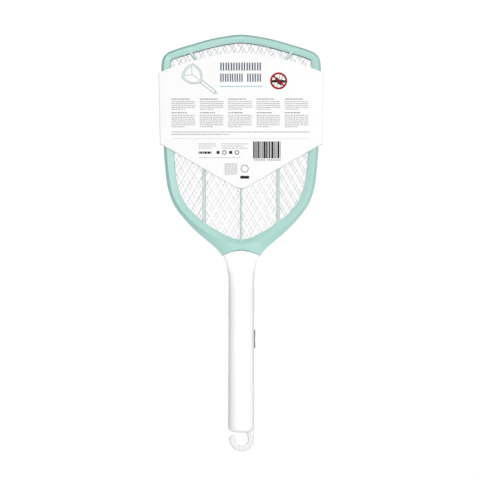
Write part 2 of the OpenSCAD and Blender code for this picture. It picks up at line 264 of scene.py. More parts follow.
# ----------------------------------------------------------------------
# materials
# ----------------------------------------------------------------------
def material(name, base, rough=0.4, metallic=0.0, vary=0.03, scale=60.0, bump=0.06, bump_scale=900.0, rough_vary=0.06,
             specular=0.5, coat=0.0, subsurface=0.0, stretch=(1, 1, 1), emission=0.0, ior=1.48, alpha=1.0,
             bump_dist=0.0002, detail=5.0):
    m = bpy.data.materials.new(name)
    m.use_nodes = True
    nt = m.node_tree
    nt.nodes.clear()
    out = nt.nodes.new("ShaderNodeOutputMaterial")
    bs = nt.nodes.new("ShaderNodeBsdfPrincipled")
    nt.links.new(bs.outputs[0], out.inputs[0])
    bs.inputs["Metallic"].default_value = metallic
    bs.inputs["IOR"].default_value = ior
    bs.inputs["Specular IOR Level"].default_value = specular
    bs.inputs["Coat Weight"].default_value = coat
    bs.inputs["Coat Roughness"].default_value = 0.12
    bs.inputs["Subsurface Weight"].default_value = subsurface
    bs.inputs["Subsurface Radius"].default_value = (1.0, 0.9, 0.8)
    bs.inputs["Subsurface Scale"].default_value = 0.002
    bs.inputs["Alpha"].default_value = alpha
    tc = nt.nodes.new("ShaderNodeTexCoord")
    mp = nt.nodes.new("ShaderNodeMapping")
    mp.inputs["Scale"].default_value = stretch
    nt.links.new(tc.outputs["Object"], mp.inputs["Vector"])
    big = nt.nodes.new("ShaderNodeTexNoise")
    big.inputs["Scale"].default_value = scale
    big.inputs["Detail"].default_value = detail
    nt.links.new(mp.outputs[0], big.inputs["Vector"])
    ramp = nt.nodes.new("ShaderNodeValToRGB")
    ramp.color_ramp.elements[0].position, ramp.color_ramp.elements[1].position = 0.3, 0.7
    ramp.color_ramp.elements[0].color = tuple(max(0, c * (1 - vary)) for c in base) + (1,)
    ramp.color_ramp.elements[1].color = tuple(min(1, c * (1 + vary)) for c in base) + (1,)
    nt.links.new(big.outputs["Fac"], ramp.inputs["Fac"])
    nt.links.new(ramp.outputs["Color"], bs.inputs["Base Color"])
    rr = nt.nodes.new("ShaderNodeMapRange")
    rr.inputs["To Min"].default_value = max(0.02, rough - rough_vary)
    rr.inputs["To Max"].default_value = min(1, rough + rough_vary)
    nt.links.new(big.outputs["Fac"], rr.inputs["Value"])
    nt.links.new(rr.outputs[0], bs.inputs["Roughness"])
    fine = nt.nodes.new("ShaderNodeTexNoise")
    fine.inputs["Scale"].default_value = bump_scale
    fine.inputs["Detail"].default_value = 4
    nt.links.new(mp.outputs[0], fine.inputs["Vector"])
    bp = nt.nodes.new("ShaderNodeBump")
    bp.inputs["Strength"].default_value = bump
    bp.inputs["Distance"].default_value = bump_dist
    nt.links.new(fine.outputs["Fac"], bp.inputs["Height"])
    nt.links.new(bp.outputs[0], bs.inputs["Normal"])
    if emission:
        bs.inputs["Emission Color"].default_value = tuple(base) + (1,)
        bs.inputs["Emission Strength"].default_value = emission
    m["parts"] = 1
    return m


MINT = (0.343, 0.568, 0.515)
mat_mint = material("mint_plastic", MINT, rough=0.36, vary=0.025, scale=18, bump=0.10, bump_scale=1400, subsurface=0.06)
# a paler copy of the mint plastic for the rib faces: painted light
mat_rib_painted_light = material("mint_rib_painted_light", (0.47, 0.585, 0.55), rough=0.42, vary=0.03, scale=40, bump=0.10, bump_scale=1400)
mat_white = material("white_plastic", (0.86, 0.86, 0.862), rough=0.30, vary=0.012, scale=14, bump=0.06, bump_scale=1200, subsurface=0.05)
# a darker copy of the white plastic for the hanging hook: painted shade
mat_hook_painted_shade = material("hook_plastic_painted_shade", (0.72, 0.72, 0.722), rough=0.30, vary=0.012, scale=14, bump=0.06, bump_scale=1200, subsurface=0.05)
# dark grey-green spacer plastic: painted shade for the shadowed inner wall of the frame's opening
mat_spacer_painted_shade = material("spacer_plastic", (0.10, 0.165, 0.15), rough=0.6, vary=0.06, scale=40)
mat_wire = material("grid_wire", (0.50, 0.51, 0.53), rough=0.30, metallic=1.0, vary=0.08, scale=250, bump=0.25, bump_scale=2600,
                    stretch=(1, 1, 0.12), rough_vary=0.08)
mat_wire2 = material("grid_wire_inner", (0.55, 0.56, 0.58), rough=0.34, metallic=1.0, vary=0.08, scale=250, bump=0.25,
                     bump_scale=2600, stretch=(1, 1, 0.12), rough_vary=0.08)
mat_card = material("white_card", (0.77, 0.77, 0.766), rough=0.42, vary=0.012, scale=35, bump=0.16, bump_scale=2200,
                    rough_vary=0.05, specular=0.4)
mat_slider = material("slider_plastic", (0.17, 0.215, 0.205), rough=0.55, vary=0.05, scale=300, bump=0.35, bump_scale=3000)
mat_steel = material("contact_metal", (0.72, 0.71, 0.68), rough=0.28, metallic=1.0, vary=0.06, scale=300, bump=0.2, bump_scale=2500)
mat_screw = material("screw_steel", (0.62, 0.63, 0.65), rough=0.32, metallic=1.0, vary=0.07, scale=400, bump=0.25, bump_scale=3000)
mat_copper = material("battery_band", (0.55, 0.26, 0.10), rough=0.25, metallic=0.7, vary=0.04, scale=80, coat=0.5)
mat_jacket = material("battery_jacket", (0.035, 0.038, 0.045), rough=0.25, vary=0.1, scale=60, coat=0.5)
mat_board = material("board_laminate", (0.03, 0.20, 0.09), rough=0.35, vary=0.35, scale=420, bump=0.5, bump_scale=700, coat=0.4)
mat_ferrite = material("ferrite", (0.045, 0.045, 0.05), rough=0.6, vary=0.25, scale=500, bump=0.5, bump_scale=1800)
mat_tape = material("winding_tape", (0.72, 0.48, 0.08), rough=0.35, vary=0.1, scale=200, stretch=(1, 1, 9), bump=0.3, bump_scale=500)
mat_cap = material("capacitor_red", (0.35, 0.035, 0.03), rough=0.28, vary=0.1, scale=150, coat=0.4)
mat_epoxy = material("black_epoxy", (0.025, 0.025, 0.027), rough=0.5, vary=0.2, scale=400, bump=0.3, bump_scale=2000)
mat_resistor = material("resistor_body", (0.48, 0.33, 0.16), rough=0.35, vary=0.3, scale=260, stretch=(0.1, 0.1, 3))
mat_led = material("led_red", (0.62, 0.02, 0.02), rough=0.12, vary=0.05, scale=200, coat=0.5, specular=0.6, subsurface=0.2)
mat_red = material("red_insulation", (0.45, 0.03, 0.03), rough=0.42, vary=0.06, scale=200)
mat_black = material("black_insulation", (0.025, 0.025, 0.027), rough=0.42, vary=0.1, scale=200)
ink_kw = dict(specular=0.08, vary=0.06, scale=500, bump=0.05, bump_scale=2500, rough_vary=0.03)
ink_slate = material("ink_slate", (0.085, 0.115, 0.155), rough=0.42, **ink_kw)
ink_teal = material("ink_teal", (0.22, 0.47, 0.50), rough=0.42, **ink_kw)
ink_grey = material("ink_grey", (0.13, 0.133, 0.138), rough=0.45, **ink_kw)
ink_light = material("ink_light", (0.34, 0.345, 0.35), rough=0.45, **ink_kw)
ink_dark = material("ink_dark", (0.010, 0.010, 0.011), rough=0.42, **ink_kw)
ink_line = material("ink_line", (0.26, 0.38, 0.36), rough=0.42, **ink_kw)
ink_red = material("ink_red", (0.32, 0.004, 0.010), rough=0.40, **ink_kw)
ink_mint = material("ink_mint", MINT, rough=0.40, **ink_kw)

# ----------------------------------------------------------------------
# the design's own numbers, as in the CAD model
# ----------------------------------------------------------------------
FRAME_T, WALL_H, WALL = 7.0, 3.2, 1.8
RIB_W, RIB_X = 3.4, 41.6
PITCH, GAP = 10.0, 3.6
GRIP_HW, GRIP_HD, GRIP_WALL = 14.8, 14.0, 2.0
SEAM_X, SEAM_Z = 21.0, 106.6
SLIDER_Z, BUTTON_Z, LED_Z, BUTTON_R = 7.0, 39.0, 50.0, 6.1
DOOR_HW, DOOR_TOP, PLAY = 9.5, 15.5, 0.3
HOOK_C, HOOK_R, HOOK_T = (0.5, -105.7), 7.2, 7.0
seam = lambda x: SEAM_Z - 6.3 * min(1, abs(x) / SEAM_X) ** 1.7
RIM = [
    [0, 348.8, 0, 339.6, 0.74, 0], [18, 346.8, 17, 337.7, 0.74, 0], [36, 343.3, 34, 334, 0.74, 0],
    [56, 337.6, 53, 328.8, 0.73, 0], [70, 333.4, 67, 324.7, 0.72, 0], [77, 331, 74.5, 322.1, 0.71, 0],
    [83, 328, 78.2, 320.6, 0.71, 0], [87.2, 323.5, 79.2, 318.4, 0.71, 0], [89, 318, 79.3, 314, 0.71, 0],
    [89.6, 311, 79.2, 305, 0.71, 0], [89.5, 296, 78.9, 294, 0.70, 0], [88.4, 262, 77.3, 262, 0.70, 0],
    [87, 224, 75.8, 226, 0.69, 0], [85.5, 201.5, 74.5, 203, 0.68, 0], [83.2, 181.4, 72.4, 184.5, 0.67, 0],
    [79.8, 168, 69, 171.6, 0.66, 0], [73.6, 154.6, 63, 159.6, 0.65, 0], [63.2, 141.1, 53.6, 148.2, 0.61, 0],
    [50.3, 127.7, 42.2, 138.9, 0.55, 0], [36.5, 116, 30.6, 130.9, 0.48, 0.05], [27, 107.5, 20.6, 125.4, 0.37, 0.2],
    [SEAM_X, seam(SEAM_X), 12.2, 121.4, 0.285, 0.45]]
NY = 24
YOKE = []
for i in range(1, NY + 1):
    f = i / NY
    x, s = SEAM_X * (1 - f), 12.2 * (1 - f)
    YOKE.append([x, seam(x), s, 118.9 + 0.0168 * s * s, 0.285 + 0.2 * f, min(1, 0.45 + 0.25 * 6 * f)])
mirrored = lambda q: [-q[0], q[1], -q[2]] + list(q[3:])
HALF = smooth_line([mirrored(RIM[1])] + RIM, 8)[8:] + YOKE
LOOP = HALF + [mirrored(q) for q in HALF[-2:0:-1]]

# ----------------------------------------------------------------------
# head frame
# ----------------------------------------------------------------------
def rim_row(s, side):
    o, i = Vector(s[0:2]), Vector(s[2:4])
    w = (i - o).length
    d = (i - o) / w
    wall = WALL_H + (FRAME_T - WALL_H) * s[5] - 0.3 * s[5]
    rs = w * (1 - s[4])
    g = GAP + 0.4
    ridge_r = 1.3 + 4 * s[5]
    prof = [(0.22, 0.03, 0), (0.0, 0.35, 0), (0, wall - 0.02, 0.9 if s[5] < 0.3 else 1.7),
            (rs, FRAME_T, ridge_r), (w - 0.02, FRAME_T - 1.7 - 0.9 * s[5], 0.35), (w, g, 0.15), (WALL, g, 0), (WALL, 0.03, 0)]
    pts = round_poly(prof, 5)
    out = [(o.x + d.x * a, side * b, o.y + d.y * a) for a, b in pts]
    return out if side < 0 else out[::-1]


def bar(x0, z0, x1, z1, side, w=RIB_W):
    """moulded rib with sloping sides and a rounded top"""
    low, high = GAP + 0.42, FRAME_T - 1.5
    d = Vector((x1 - x0, z1 - z0))
    d.normalize()
    n = Vector((d.y, -d.x))
    prof = round_poly([(-w / 2, low, 0), (w / 2, low, 0), (w / 2 - 0.35, high, 0.5), (-w / 2 + 0.35, high, 0.5)], 4)
    rows = []
    for px, pz in ((x0, z0), (x1, z1)):
        r = [(px + n.x * a, side * b, pz + n.y * a) for a, b in prof]
        rows.append(r if side < 0 else r[::-1])
    return skin(rows)


def half_frame(name, node, side):
    ring = skin([rim_row(s, side) for s in LOOP], wrap=True)
    ob = make(name, *ring, mat=mat_mint, angle=40)
    bars = [bar(0, 112, 0, 262.5, side, RIB_W * 0.7)]
    for m in (-1, 1):
        bars.append(bar(m * RIB_X, 133, m * RIB_X, 311, side))
        bars.append(bar(0, 262, m * 57, 262 + 57 / math.tan(math.radians(40.3)), side))
    tools = []
    tool = make("tool", *bars[0])
    boolean(tool, [make("tool2", *b) for b in bars[1:]], "UNION")
    boolean(ob, [tool], "UNION")
    y0, y1 = (-3.9, 1) if side < 0 else (-1, 3.9)
    boolean(ob, [make("tool", *box((-12.6, y0, 92), (12.6, y1, 110)))])
    sharpen(ob.data, 32)
    # the rib faces inside the opening get a paler copy of the mint plastic: painted light for the brighter look of the
    # ribs under the wires that cross them
    ob.data.materials.append(mat_rib_painted_light)
    opening = outline_at(-0.03)
    for p in ob.data.polygons:
        x, z = p.center.x / MM, p.center.z / MM
        if abs(p.center.y) / MM > 4.2 and inside(opening, x, z):
            p.material_index = 1
    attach(ob, "racket")
    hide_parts(node)
    return ob


def outline_at(u):
    return [(s[2] + (s[0] - s[2]) * u, s[3] + (s[1] - s[3]) * u) for s in LOOP]


def inside(poly, x, z):
    hit = False
    for i in range(len(poly)):
        (ax, az), (bx, bz) = poly[i - 1], poly[i]
        if (az > z) != (bz > z) and x < ax + (z - az) / (bz - az) * (bx - ax):
            hit = not hit
    return hit


half_frame("rear_frame_moulding", "rear_frame", -1)
half_frame("front_frame_moulding", "front_frame", 1)

# ----------------------------------------------------------------------
# wire grids: two families of round wires crossing at 60 degrees, clipped to the opening
# ----------------------------------------------------------------------
def clip_line(poly, p, d):
    """stretches of the line p + t d inside the polygon"""
    ts = []
    for i in range(len(poly)):
        (ax, az), (bx, bz) = poly[i - 1], poly[i]
        ex, ez = bx - ax, bz - az
        den = d[0] * ez - d[1] * ex
        if abs(den) < 1e-9:
            continue
        t = ((ax - p[0]) * ez - (az - p[1]) * ex) / den
        u = ((ax - p[0]) * d[1] - (az - p[1]) * d[0]) / den
        if 0 <= u < 1:
            ts.append(t)
    ts.sort()
    return [(a, b) for a, b in zip(ts[::2], ts[1::2]) if b - a > 2]


def strength(fam, x, z):
    """the rising wires show most on the left, the falling ones on the right, both near the top"""
    t = max(0.0, min(1.0, (z - 268) / 30))
    w = max(0.0, min(1.0, 0.5 - fam * x / 26))
    w = w * w * (3 - 2 * w)
    far = min(1.0, 0.45 + 0.55 * max(0.0, min(1.0, (abs(x) - 34) / 12)))
    return max(t, w * far)


def wire_grid(name, node, y, pitch, shift, mat, r, r_thin, tab, over=False):
    edge = outline_at(0.30)
    side = -1 if y < 0 else 1
    ribs = [(0.0, 1.2), (-RIB_X, 1.7), (RIB_X, 1.7)] if over else []
    parts = []
    for fam in (1, -1):
        d = (0.5 * fam, math.sqrt(3) / 2)
        for i in range(-60, 61):
            x0 = pitch / 2 + shift + pitch * i
            for a, b in clip_line(edge, (x0, 0), d):
                ts = {a, b}
                n = max(2, int((b - a) / 14))
                ts |= {a + (b - a) * k / n for k in range(n + 1)}
                for rx, hw in ribs:
                    for o in (-hw - 2.2, -hw - 1.5, -hw - 0.9, -hw - 0.3, 0, hw + 0.3, hw + 0.9, hw + 1.5, hw + 2.2):
                        t = (rx + o - x0) / d[0]
                        if a < t < b:
                            ts.add(t)
                rows = []
                ts = sorted(ts)
                for t in ts:
                    x, z = x0 + d[0] * t, d[1] * t
                    yy = y + fam * r * 0.55 * side
                    for rx, hw in ribs:
                        u = max(0.0, min(1.0, (hw + 2.2 - abs(x - rx)) / 1.9))
                        # only where the rib is there to be crossed
                        if u > 0 and (z < 262 if rx == 0 else z < 312):
                            yy += side * 2.12 * u * u * (3 - 2 * u)
                    rad = r_thin + (r - r_thin) * strength(fam, x, z)
                    rows.append((x, yy, z, rad))
                if len(rows) < 2:
                    continue
                # a tube whose radius changes along it
                ring = []
                nrm = (d[1], 0.0, -d[0])
                for x, yy, z, rad in rows:
                    ring.append([(x + nrm[0] * rad * math.cos(q), yy + rad * math.sin(q), z + nrm[2] * rad * math.cos(q))
                                 for q in [2 * math.pi * k / 6 for k in range(6)]])
                parts.append(skin(ring))
    # the edge wire that carries the ends, hidden under the frame's lip
    rows = []
    rail = outline_at(0.30)[::2]
    for i, (x, z) in enumerate(rail):
        px, pz = rail[i - 1]
        qx, qz = rail[(i + 1) % len(rail)]
        t = Vector((qx - px, qz - pz)).normalized()
        nx, nz = t.y, -t.x
        rows.append([(x + nx * 0.7 * math.cos(a), y + 0.42 * math.sin(a), z + nz * 0.7 * math.cos(a))
                     for a in [2 * math.pi * k / 8 for k in range(8)]])
    parts.append(skin(rows, wrap=True))
    parts.append(box((tab - 1, y - 0.3, 100), (tab + 1, y + 0.3, 116)))
    ob = make(name, *join_data(parts), mat=mat, angle=70, clean=False)
    bm = bmesh.new()
    bm.from_mesh(ob.data)
    bmesh.ops.recalc_face_normals(bm, faces=bm.faces)
    bm.to_mesh(ob.data)
    bm.free()
    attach(ob, "racket")
    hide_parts(node)
    return ob


wire_grid("rear_wire_grid", "rear_grid", -GAP, 9.86, 0.0, mat_wire, 0.31, 0.11, -10.8, True)
wire_grid("middle_wire_grid", "middle_grid", 0.0, 4.93, 1.2, mat_wire2, 0.10, 0.10, 10.8)
wire_grid("front_wire_grid", "front_grid", GAP, 9.86, 3.3, mat_wire, 0.20, 0.13, -10.8, True)

# ----------------------------------------------------------------------
# handle
# ----------------------------------------------------------------------
HW = [(70, GRIP_HW), (76, GRIP_HW + 0.1), (80, GRIP_HW + 0.4), (84, GRIP_HW + 1), (90, 17), (94, 17.9), (97.4, 19.1), (100.3, SEAM_X)]
HD = [(58, GRIP_HD), (66, GRIP_HD - 0.5), (72, GRIP_HD - 1.5), (80, 10.9), (88, 8.9), (94, 7.8), (100.3, FRAME_T)]
HN = [(58, 2.4), (76, 2.8), (90, 4), (100.3, 7)]
ARC = 56


def arc(z, w, d, n, side):
    row = []
    for k in range(ARC + 1):
        a = math.pi * k / ARC
        c, s = math.cos(a), max(0.0, math.sin(a))
        x = w * math.copysign(abs(c) ** (2 / n), c)
        y = side * max(0.03, d * s ** (2 / n))
        zz = z
        if z > 97.4:
            zz = 97.4 + (z - 97.4) / (100.3 - 97.4) * (seam(x) - 0.15 - 97.4)
        row.append((x, y, zz))
    return row


END = [(-97.9, 0.30, -94.2, 0.30), (-97.5, 0.52, -94.1, 0.50), (-96.7, 0.75, -93.9, 0.74), (-95.3, 0.91, -93.2, 0.90),
       (-93.2, 0.98, -92.2, 0.97), (-90.5, 1, -90.5, 1)]


def shell(side, wall=GRIP_WALL):
    rows = []
    steps = smooth_line([list(e) for e in END], 3)
    for zo, wo, zi, wi in steps:
        rows.append(arc(zo, GRIP_HW * wo, GRIP_HD * wo, 2.4, side)
                    + arc(zi, (GRIP_HW - wall) * wi, (GRIP_HD - wall) * wi, 2.4, side)[::-1])
    zs = [-60, -30, -10, 10, 30, 45, 58] + [58 + 2.0 * k for k in range(1, 20)] + [97.4, 98.6, 99.6, 100.3]
    for z in zs:
        w, d, n = pchip(HW, z), pchip(HD, z), pchip(HN, z)
        rows.append(arc(z, w, d, n, side) + arc(z, w - wall, d - wall, n, side)[::-1])
    if side > 0:
        rows = [r[::-1] for r in rows]
    n = len(rows[0])
    vs, fs = skin(rows, caps=False)
    last = (len(rows) - 1) * n
    fs.append(list(range(ARC, -1, -1)))
    fs.append(list(range(n - 1, ARC, -1)))
    fs.append([ARC + 1, ARC, 0, n - 1])
    for k in range(ARC):
        fs.append([last + k, last + k + 1, last + n - 2 - k, last + n - 1 - k])
    return vs, fs


def rounded_prism_x(x0, x1, y, z0, z1, r):
    """prism along X whose outline in YZ is a rounded rectangle"""
    pts = round_poly([(-y, z0, r), (y, z0, r), (y, z1, r), (-y, z1, r)], 8)
    return skin([[(x0, a, b) for a, b in pts], [(x1, a, b) for a, b in pts]])


def rounded_prism_y(y0, y1, x0, x1, z0, z1, r):
    pts = round_poly([(x0, z0, r), (x1, z0, r), (x1, z1, r), (x0, z1, r)], 8)
    return skin([[(a, y0, b) for a, b in pts], [(a, y1, b) for a, b in pts]])


def track_tools():
    return [make("tool", *rounded_prism_x(GRIP_HW - 0.9, GRIP_HW + 5, 4.6, SLIDER_Z - 15.1, SLIDER_Z + 15.1, 2.4)),
            make("tool", *rounded_prism_x(GRIP_HW - 6, GRIP_HW + 2, 1.7, SLIDER_Z - 6.7, SLIDER_Z + 6.7, 0.9))]


def hook_tool():
    return make("tool", *box((5.2, -HOOK_T / 2, -98.6), (14.75, HOOK_T / 2, -90.5)))


def rear_shell():
    ob = make("rear_handle_moulding", *shell(-1), mat=mat_white, angle=38)
    inner = []
    for z, d in ((23, 14), (90, pchip(HD, 90))):
        y0 = 3.4 if z > 50 else 0.1
        inner.append(lathe([(1.55, -y0 - 6), (1.55, -y0), (3.2, -y0), (3.2, -(d - 1.1)), (1.55, -(d - 1.1))][::-1], (0, 0, z), n=32))
    for z in (31.5, 64):
        inner.append(box((-8, -12, z), (8, -3, z + 2)))
    inner.append(box((-8.4, -11.6, 13), (7.6, 3.4, 14.4)))
    for z in (-76, -40, -6):
        pts = [(-9.6, -3.0)] + [(7.35 * math.cos(a), 7.35 * math.sin(a)) for a in
                                [math.pi + math.asin(3 / 7.35) + k * (math.pi - 2 * math.asin(3 / 7.35)) / 16 for k in range(17)]] \
            + [(9.6, -3.0), (9.6, -11.4), (-9.6, -11.4)]
        inner.append(skin([[(x, y, zz) for x, y in pts] for zz in (z, z + 2)]))
    boolean(ob, track_tools() + [hook_tool()])
    extra = make("rear_handle_inner", *join_data(inner), mat=mat_white)
    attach(extra, "racket")
    return ob


def front_shell():
    ob = make("front_handle_moulding", *shell(1), mat=mat_white, angle=38)
    tools = track_tools() + [hook_tool()]
    tools.append(make("tool", *lathe([(BUTTON_R + PLAY, 5), (BUTTON_R + PLAY, 18)], (0, 0, BUTTON_Z), n=72)))
    tools.append(make("tool", *lathe([(1.6, 5), (1.6, 18)], (0, 0, LED_Z), n=32)))
    for z in (23, 90):
        d = pchip(HD, z)
        tools.append(make("tool", *lathe([(1.7, 0), (1.7, 20)], (0, 0, z), n=32)))
        tools.append(make("tool", *lathe([(3, d - 2.0), (3, d + 4)], (0, 0, z), n=40)))
    tools.append(make("tool", *rounded_prism_y(6.4, 18, -DOOR_HW - PLAY, DOOR_HW + PLAY, -110, DOOR_TOP + PLAY, 2.5)))
    boolean(ob, tools)
    inner = []
    for z in (23, 90):
        d = pchip(HD, z)
        y0 = 3.4 if z > 50 else 0.1
        inner.append(lathe([(1.7, y0), (4.2, y0), (4.2, d - 2.4), (1.7, d - 2.4), (1.7, y0)], (0, 0, z), n=32))
    extra = make("front_handle_inner", *join_data([(v, f[:-2]) for v, f in inner]), mat=mat_white)
    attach(extra, "racket")
    return ob


for builder, node in ((rear_shell, "rear_handle_shell"), (front_shell, "front_handle_shell")):
    ob = builder()
    bevelled(ob, 0.22, 2, 40)
    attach(ob, "racket")
    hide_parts(node)

# battery cover: a patch of the same wall, with a thumb ridge and an arrow-free grip
cover = make("battery_cover_moulding", *shell(1), mat=mat_white, angle=38)
boolean(cover, [make("tool", *rounded_prism_y(6.7, 18, -DOOR_HW, DOOR_HW, -110, DOOR_TOP, 2.2))], "INTERSECT")
boolean(cover, [make("tool", *rounded_prism_y(13.3, 18, -5.9, 5.9, 1.6, 13.4, 2.6))])
grips = []
for k in range(6):
    z = 3.75 + k * 1.5
    hwid = 4.6 - 0.22 * abs(k - 2.5)
    rows = []
    for i in range(13):
        x = -hwid + 2 * hwid * i / 12
        h = 0.42 * max(0.02, math.sin(math.pi * i / 12)) ** 0.4
        rows.append([(x, 13.2, z - 0.42), (x, 13.3, z - 0.42), (x, 13.3 + h, z - 0.16), (x, 13.3 + h, z + 0.16),
                     (x, 13.3, z + 0.42), (x, 13.2, z + 0.42)])
    grips.append(skin(rows))
g = make("cover_grip_ridges", *join_data(grips), mat=mat_white, angle=50)
for ob in (cover, g):
    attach(ob, "cover")
bevelled(cover, 0.2, 2, 40)
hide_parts("battery_cover")

# ----------------------------------------------------------------------
# hanging hook: outline with rounded edges all round
# ----------------------------------------------------------------------
def hook_outline():
    cx, cz = HOOK_C
    ro, ri = 13.8, HOOK_R
    pts = [(14.75, -90.6), (14.75, -96.5)]
    pts += [(14.72, -99.5), (14.5, -102.5)]
    a0, a1 = math.radians(2), math.radians(-186)
    for k in range(49):
        a = a0 + (a1 - a0) * k / 48
        pts.append((cx + ro * math.cos(a), cz + ro * math.sin(a)))
    # rounded tip
    tc, tr = (-9.9, -104.0), 3.28
    for k in range(13):
        a = math.radians(172 - 158 * k / 12)
        pts.append((tc[0] + tr * math.cos(a), tc[1] + tr * math.sin(a)))
    b0, b1 = math.radians(-184), math.radians(-2)
    for k in range(41):
        a = b0 + (b1 - b0) * k / 40
        pts.append((cx + ri * math.cos(a), cz + ri * math.sin(a)))
    pts += [(7.35, -103.2), (6.5, -101.0), (5.75, -99.2), (5.3, -97.6), (5.25, -94.0), (5.25, -90.6)]
    return pts


def outline_solid(name, pts, thickness, round_r, seg=4):
    """closed flat outline in XZ with rounded edges, made as a filled curve"""
    cu = bpy.data.curves.new(name, "CURVE")
    cu.dimensions = "2D"
    cu.fill_mode = "BOTH"
    cu.extrude = (thickness / 2 - round_r) * MM
    cu.bevel_depth = round_r * MM
    cu.bevel_resolution = seg
    cu.offset = -round_r * MM
    sp = cu.splines.new("POLY")
    sp.points.add(len(pts) - 1)
    for p, (x, z) in zip(sp.points, pts):
        p.co = (x * MM, z * MM, 0, 1)
    sp.use_cyclic_u = True
    ob = bpy.data.objects.new(name, cu)
    scene.collection.objects.link(ob)
    ob.rotation_euler = (math.radians(90), 0, 0)
    bpy.context.view_layer.update()
    me = evaluated(ob)
    me.transform(ob.matrix_world)
    bpy.data.objects.remove(ob)
    tidy(me, 2e-6)
    sharpen(me, 50)
    ob = bpy.data.objects.new(name, me)
    scene.collection.objects.link(ob)
    return ob


hook = outline_solid("hanging_hook_moulding", hook_outline(), HOOK_T, 1.9, 5)
# the hook takes the darker copy of the white plastic, painted shade
hook.data.materials.clear()
hook.data.materials.append(mat_hook_painted_shade)
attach(hook, "racket")
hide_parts("hanging_hook")

# ----------------------------------------------------------------------
# thumb slider
# ----------------------------------------------------------------------
def slider():
    x0, x1, hl = GRIP_HW - 0.6, GRIP_HW + 1.2, 10.3
    prof = [(x0, -hl, 0.2), (x1, -hl, 0.7)]
    n = 44
    for k in range(n + 1):
        z = -5.9 + 11.8 * k / n
        x = min(x1, GRIP_HW + 22.8 - math.sqrt(22 ** 2 - z * z))
        if abs(z) < 4.9:
            x += 0.13 * math.cos(2 * math.pi * z / 1.4)
        prof.append((x, z, 0))
    prof += [(x1, hl, 0.7), (x0, hl, 0.2)]
    pts = round_poly(prof, 4)
    rows = []
    for y, s in ((-4.1, 0), (-3.95, 0.35), (-3.6, 0.6), (3.6, 0.6), (3.95, 0.35), (4.1, 0)):
        k = 0.6 - s
        rows.append([(GRIP_HW + 0.1 + (x - GRIP_HW - 0.1) * (1 - 0.35 * k) if x > GRIP_HW + 0.1 else x, y, SLIDER_Z + z * (1 - 0.05 * k)) for x, z in pts])
    v, f = join_data([skin(rows), box((11.3, -1.4, SLIDER_Z - 2.1), (x0 + 0.2, 1.4, SLIDER_Z + 2.1))])
    ob = make("thumb_slider", v, f, mat=mat_slider, angle=40)
    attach(ob, "slider")
    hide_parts("power_slider")


slider()

# ----------------------------------------------------------------------
# press button, lamp, springs, cells
# ----------------------------------------------------------------------
btn = make("press_button_cap", *lathe([(0.001, 4.0), (1.5, 4.0), (1.5, 8.8), (7.3, 8.8), (7.5, 9.0), (7.5, 9.8), (7.3, 10.0), (BUTTON_R, 10.0),
                                       (BUTTON_R, 13.1), (5.95, 13.45), (5.6, 13.68), (5.1, 13.78), (4.5, 13.74), (3.6, 13.5), (2.2, 13.28), (0.001, 13.2)],
                                      (0, 0, BUTTON_Z), n=80), mat=mat_mint, angle=38)
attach(btn, "button")
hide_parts("press_button")

led = [lathe([(0.001, 9.6), (1.5, 9.6), (1.5, 12.6), (1.42, 13.1), (1.15, 13.55), (0.7, 13.82), (0.001, 13.9)], (0, 0, LED_Z), n=40)]
for m in (-1, 1):
    led.append(lathe([(0.25, -1.4), (0.25, 9.7)], (m * 0.9, 0, LED_Z), n=12))
ob = make("indicator_lamp", *join_data(led), mat=mat_led)
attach(ob, "racket"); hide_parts("indicator_led")


def coil(fn, r, turns, steps=22, k=8):
    n = int(turns * steps)
    return tube([fn(i / n) for i in range(n + 1)], r, k)


sp = make("button_return_spring", *coil(lambda t: (4.7 * math.cos(2 * math.pi * 5 * t), -1.0 + 9.4 * t, BUTTON_Z + 4.7 * math.sin(2 * math.pi * 5 * t)), 0.3, 5),
          mat=mat_steel, angle=60)
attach(sp, "racket"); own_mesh(sp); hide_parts("button_spring")
v, f = join_data([box((-11, -4, -92.4), (4.8, 4, -92.0)),
                  coil(lambda t: ((4.6 - 2.1 * t) * math.cos(6 * math.pi * t), (4.6 - 2.1 * t) * math.sin(6 * math.pi * t), -91.65 + 2.7 * t), 0.35, 3)])
cs = make("cell_contact_spring", v, f, mat=mat_steel, angle=50)
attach(cs, "racket"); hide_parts("negative_contact_spring")

for name, node, z0 in (("lower_cell", "lower_battery", -88.6), ("upper_cell", "upper_battery", -38.1)):
    v, f = lathe([(0.001, 0), (5.9, 0), (6.3, 0.12), (6.35, 0.5), (6.9, 0.5), (7.2, 0.75), (7.25, 1.1), (7.25, 36.5), (7.25, 48.4), (7.15, 49.0),
                  (6.8, 49.35), (6.2, 49.45), (3.4, 49.3), (3.2, 49.5), (2.75, 49.6), (2.7, 50.2), (2.45, 50.5), (0.001, 50.5)], (0, 0, z0), "z", 64)
    ob = make(name, v, f, mat=mat_jacket, angle=38)
    ob.data.materials.append(mat_copper)
    ob.data.materials.append(mat_steel)
    for p in ob.data.polygons:
        z = p.center.z / MM - z0
        rr = math.hypot(p.center.x, p.center.y) / MM
        p.material_index = 2 if (z < 0.45 or (z > 49.2 and rr < 6.2)) else (1 if z > 36.5 else 0)
    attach(ob, "racket"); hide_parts(node)

